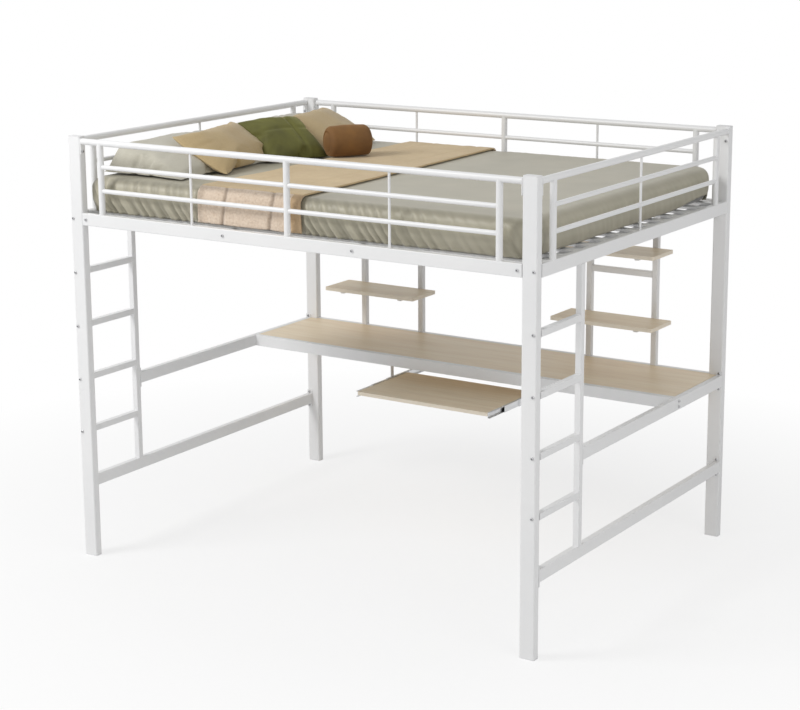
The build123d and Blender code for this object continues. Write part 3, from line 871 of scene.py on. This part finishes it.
def crease(obj, width, depth):
    """A sewn cross on the front of the green cushion."""
    points = read_points(obj)
    across = np.exp(-((points[:, 0] - CROSS_AT[0] * width) / 0.010) ** 2)
    along = 0.45 * np.exp(-((points[:, 1] - CROSS_AT[1] * depth) / 0.009) ** 2)
    points[:, 2] -= np.sign(points[:, 2]) * CROSS_DEPTH * np.maximum(across, along)
    write_points(obj, points)


def wrinkle(obj, seed, size):
    """Soft dents and pulled creases that run in from the edges."""
    points = read_points(obj)
    half = points.max(0)
    for k, (x, y, z) in enumerate(points):
        u, v = abs(x / half[0]), abs(y / half[1])
        rim = max(u, v)
        pull = wobble(math.atan2(y, x) * 8.0, seed, rim * 1.5) * smoothstep(0.3, 0.85, rim)
        slow = wobble(x * 9.0, y * 9.0, seed)
        points[k][2] += math.copysign(1.0, z) * size * (0.9 * pull + 0.8 * slow) * (1 - rim ** 6)
    write_points(obj, points)


pillows = {}
for name, (width, depth, thick, from_head, y, lift, turn, lean, slump, wrinkles, _) in PILLOWS.items():
    pillow = pouch(name + "_cloth", width * PILLOW_SLACK_X, depth * PILLOW_SLACK_Y, thick)
    inflate(pillow)
    fit(pillow, width, depth, thick)
    wrinkle(pillow, 10.0 * len(pillows), wrinkles)
    if name == "green_cushion":
        crease(pillow, width, depth)
    turned = Matrix.Rotation(math.radians(turn), 4, "Z") @ Matrix.Rotation(math.radians(lean), 4, "Y")
    place = Matrix.Translation((head_x + from_head, y, bed_top + lift)) @ turned
    pillow.data.transform(place @ Matrix.Rotation(math.radians(90), 4, "Z"))
    press(pillow, bed_top + 0.001, place, thick, slump)
    smooth = pillow.modifiers.new("smooth", "SUBSURF")
    smooth.levels = 1
    bake(pillow)
    pillows[name] = pillow

from_lowest = list(pillows.values())
for k, (name, pillow) in enumerate(pillows.items()):
    for upper in from_lowest[k + 1:]:
        if not apart(pillow, upper):
            dent(pillow, upper)
    pillow.data.set_sharp_from_angle(angle=math.radians(PILLOW_SHARP))
    dress(pillow, name)


def make_bolster():
    """A round bolster: a full body, a corded seam round each end and a soft dome inside it."""
    low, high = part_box("brown_bolster")
    half, radius = BOLSTER_L / 2, BOLSTER_D / 2
    corner, dome = BOLSTER_CORNER_R, BOLSTER_DOME
    face = radius - corner
    profile = []
    for k in range(9):
        share = k / 8
        profile.append((half - dome * share ** 2, max(0.0004, face * share)))
    for k in range(1, 5):
        bead = math.sin(math.pi * k / 5)
        profile.append((half - dome + BOLSTER_BEAD * bead, face + BOLSTER_BEAD_STEP * k))
    for k in range(1, 9):
        a = math.pi / 2 * k / 8
        edge = face + BOLSTER_BEAD_W + (corner - BOLSTER_BEAD_W) * math.sin(a)
        profile.append((half - dome - corner * (1 - math.cos(a)), edge))
    body = half - dome - corner
    steps = 12
    profile += [(body * (1 - 2 * k / steps), radius) for k in range(1, steps // 2 + 1)]
    profile += [(-x, r) for x, r in reversed(profile[:-1])]
    around = BOLSTER_AROUND
    points = []
    for x, r in profile:
        for c in range(around):
            a = 2 * math.pi * c / around
            hollow = wobble(math.cos(a) * 2.0, math.sin(a) * 2.0, x * 24.0)
            pull = wobble(a * 5.0, x * 10.0, 3.0) * smoothstep(0.4, 0.9, abs(x) / half)
            full = r * (1 + 0.02 * math.cos(math.pi * x / half) + 0.014 * hollow + 0.010 * pull)
            points.append((x, full * math.cos(a), full * math.sin(a)))
    faces = grid_faces(len(profile), around, closed=True)
    faces += [tuple(range(around)), tuple(range(len(points) - around, len(points)))]
    obj = add_mesh("brown_bolster_cloth", points, faces)
    face_outward(obj)
    middle = (low + high) / 2
    rest = throw_high.z - 0.001
    turned = Matrix.Rotation(math.radians(BOLSTER_TURN), 4, "Z")
    obj.data.transform(Matrix.Translation((middle.x, middle.y, rest + radius - BOLSTER_SINK)) @ turned)
    points = read_points(obj)
    flatten(points, rest, BOLSTER_SQUASH)
    write_points(obj, points)
    return obj


bolster = dress(make_bolster(), "brown_bolster")


# Bolt sockets


def make_sockets():
    """A hexagon socket on the crown of every bolt head: a dark floor, painted shade that stands for the
    hollow, inside a worn rim.
    """
    points, faces = [], []
    bolts = bmesh.new()
    bolts.from_mesh(frame["nodes"]["bolts"].data)
    for head in islands(bolts):
        body = np.array([vert.co for vert in head])
        low, high = body.min(0), body.max(0)
        axis = int(np.argmin(high - low))
        middle = (low + high) / 2
        spread = np.linalg.norm(np.delete(body - middle, axis, 1), axis=1)
        upper = spread[np.abs(body[:, axis] - high[axis]) < 1e-5].max()
        lower = spread[np.abs(body[:, axis] - low[axis]) < 1e-5].max()
        sign = 1 if upper < lower else -1
        crown = high[axis] if sign > 0 else low[axis]
        across = SOCKET_SHARE * min(upper, lower)
        others = [k for k in range(3) if k != axis]
        start = len(points)
        for share, rise in SOCKET_RINGS:
            radius = across * share
            for k in range(SOCKET_SIDES):
                turn = 2 * math.pi * k / SOCKET_SIDES
                point = middle.copy()
                point[axis] = crown + sign * rise
                point[others[0]] += radius * math.cos(turn)
                point[others[1]] += radius * math.sin(turn)
                points.append(tuple(point))
        rim = grid_faces(len(SOCKET_RINGS), SOCKET_SIDES, closed=True)
        faces += [tuple(start + i for i in face) for face in rim]
        faces.append(tuple(range(len(points) - SOCKET_SIDES, len(points))))
    bolts.free()
    obj = add_mesh("bolt_socket_shades", points, faces, smooth=False)
    face_outward(obj)
    # The sockets' dark colour is painted shade for their hollows.
    s = Shader("bolt_socket_painted_shade", (0.10, 0.10, 0.105), 0.5)
    s.set(Metallic=0.8)
    s.color(s.ramp(s.noise(500.0), (0.3, (0.07, 0.07, 0.075)), (0.7, (0.15, 0.15, 0.155))))
    obj.data.materials.append(s.material)
    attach(obj, "frame")


make_sockets()


# Floor, light and camera


def seen_rays(tree):
    """1 for the rays that show the surroundings in the picture, also by way of a shine or through glass."""
    path = tree.nodes.new("ShaderNodeLightPath")
    seen = path.outputs["Is Camera Ray"]
    for name in ("Is Glossy Ray", "Is Transmission Ray"):
        more = tree.nodes.new("ShaderNodeMath")
        more.operation = "MAXIMUM"
        tree.links.new(seen, more.inputs[0])
        tree.links.new(path.outputs[name], more.inputs[1])
        seen = more.outputs[0]
    return seen


def make_floor():
    """A wide floor that takes a shadow under the bed and turns plain white away from it."""
    corners = [(x * FLOOR_HALF, y * FLOOR_HALF, 0.0) for x, y in ((-1, -1), (1, -1), (1, 1), (-1, 1))]
    floor = add_mesh("floor", corners, [(0, 1, 2, 3)])
    s = Shader("floor", (0.9, 0.9, 0.9), 0.9)
    glow = s.node("ShaderNodeEmission")
    seen = seen_rays(s.tree)
    spread = s.node("ShaderNodeVectorMath", operation="LENGTH")
    s.link(s.place, spread.inputs[0])
    far = s.node("ShaderNodeMapRange")
    for key, value in zip(("From Min", "From Max", "To Min", "To Max"), (*FLOOR_FADE, *FLOOR_WHITE)):
        far.inputs[key].default_value = value
    s.link(spread.outputs["Value"], far.inputs["Value"])
    both = s.node("ShaderNodeMixShader")
    s.link(s.math("MULTIPLY", far.outputs["Result"], seen), both.inputs[0])
    s.link(s.main.outputs[0], both.inputs[1])
    s.link(glow.outputs[0], both.inputs[2])
    s.link(both.outputs[0], s.tree.nodes["Material Output"].inputs["Surface"])
    floor.data.materials.append(s.material)


def make_world():
    world = bpy.data.worlds.new("studio")
    bpy.context.scene.world = world
    world.use_nodes = True
    tree = world.node_tree
    sky = tree.nodes["Background"]
    sky.inputs["Color"].default_value = (1.0, 1.0, 1.0, 1.0)
    sky.inputs["Strength"].default_value = SKY_STRENGTH
    white = tree.nodes.new("ShaderNodeBackground")
    white.inputs["Color"].default_value = (1.0, 1.0, 1.0, 1.0)
    both = tree.nodes.new("ShaderNodeMixShader")
    tree.links.new(seen_rays(tree), both.inputs[0])
    tree.links.new(sky.outputs[0], both.inputs[1])
    tree.links.new(white.outputs[0], both.inputs[2])
    tree.links.new(both.outputs[0], tree.nodes["World Output"].inputs["Surface"])


def add_lamp(name, place, aim, size, power):
    lamp = bpy.data.lights.new(name, "AREA")
    lamp.shape = "DISK"
    lamp.size = size
    lamp.energy = power
    obj = bpy.data.objects.new(name, lamp)
    obj.location = place
    obj.rotation_euler = (Vector(aim) - Vector(place)).to_track_quat("-Z", "Y").to_euler()
    bpy.context.scene.collection.objects.link(obj)


def make_camera():
    lens = bpy.data.cameras.new("camera")
    lens.sensor_width = SENSOR_W
    lens.lens = FOCAL_PX / IMAGE_W * SENSOR_W
    lens.shift_y = SHIFT_Y
    camera = bpy.data.objects.new("camera", lens)
    yaw = Matrix.Rotation(math.radians(CAMERA_YAW), 4, "Z")
    pitch = Matrix.Rotation(math.radians(90 - CAMERA_PITCH), 4, "X")
    roll = Matrix.Rotation(math.radians(CAMERA_ROLL), 4, "Z")
    camera.matrix_world = Matrix.Translation(CAMERA_AT) @ yaw @ pitch @ roll
    bpy.context.scene.collection.objects.link(camera)
    bpy.context.scene.camera = camera


make_floor()
make_world()
for name, lamp in LAMPS.items():
    add_lamp(name, *lamp)
make_camera()
bpy.context.scene.view_settings.view_transform = "Standard"
